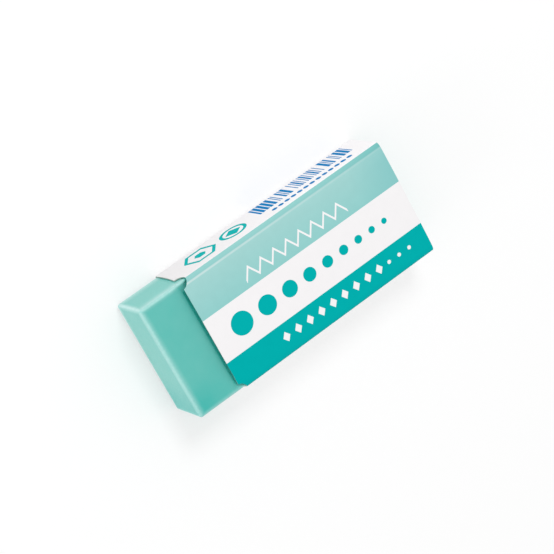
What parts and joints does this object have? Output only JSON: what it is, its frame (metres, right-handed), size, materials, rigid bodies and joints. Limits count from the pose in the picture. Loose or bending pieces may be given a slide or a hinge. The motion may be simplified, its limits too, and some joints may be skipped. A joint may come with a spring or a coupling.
{
  "type": "vinyl eraser",
  "caption": "Block eraser of soft vinyl in a folded and glued card sleeve that slides along it; round notches at the sleeve's open end keep the card from cutting into the block.",
  "frame": {"origin": "middle of the part's box at its lowest face, the outside of the sleeve's back", "axes": "+X from the block's bare end to the sleeve's other end, +Y towards the narrow side with the bars, +Z out of the printed front"},
  "size_m": [0.043, 0.0186, 0.009],
  "materials": {
    "soft_vinyl": "smooth matt vinyl with a faint soft sheen",
    "printed_card": "coated white card, printed in pale and deep green bands"
  },
  "bodies": {
    "sleeve": {"sleeve": "printed_card"},
    "block": {"eraser_block": "soft_vinyl"}
  },
  "joints": [
    {"name": "block_slide", "type": "slide", "parent": "sleeve", "child": "block", "axis": [-1, 0, 0], "range_m": [-0.007, 0.02]}
  ]
}
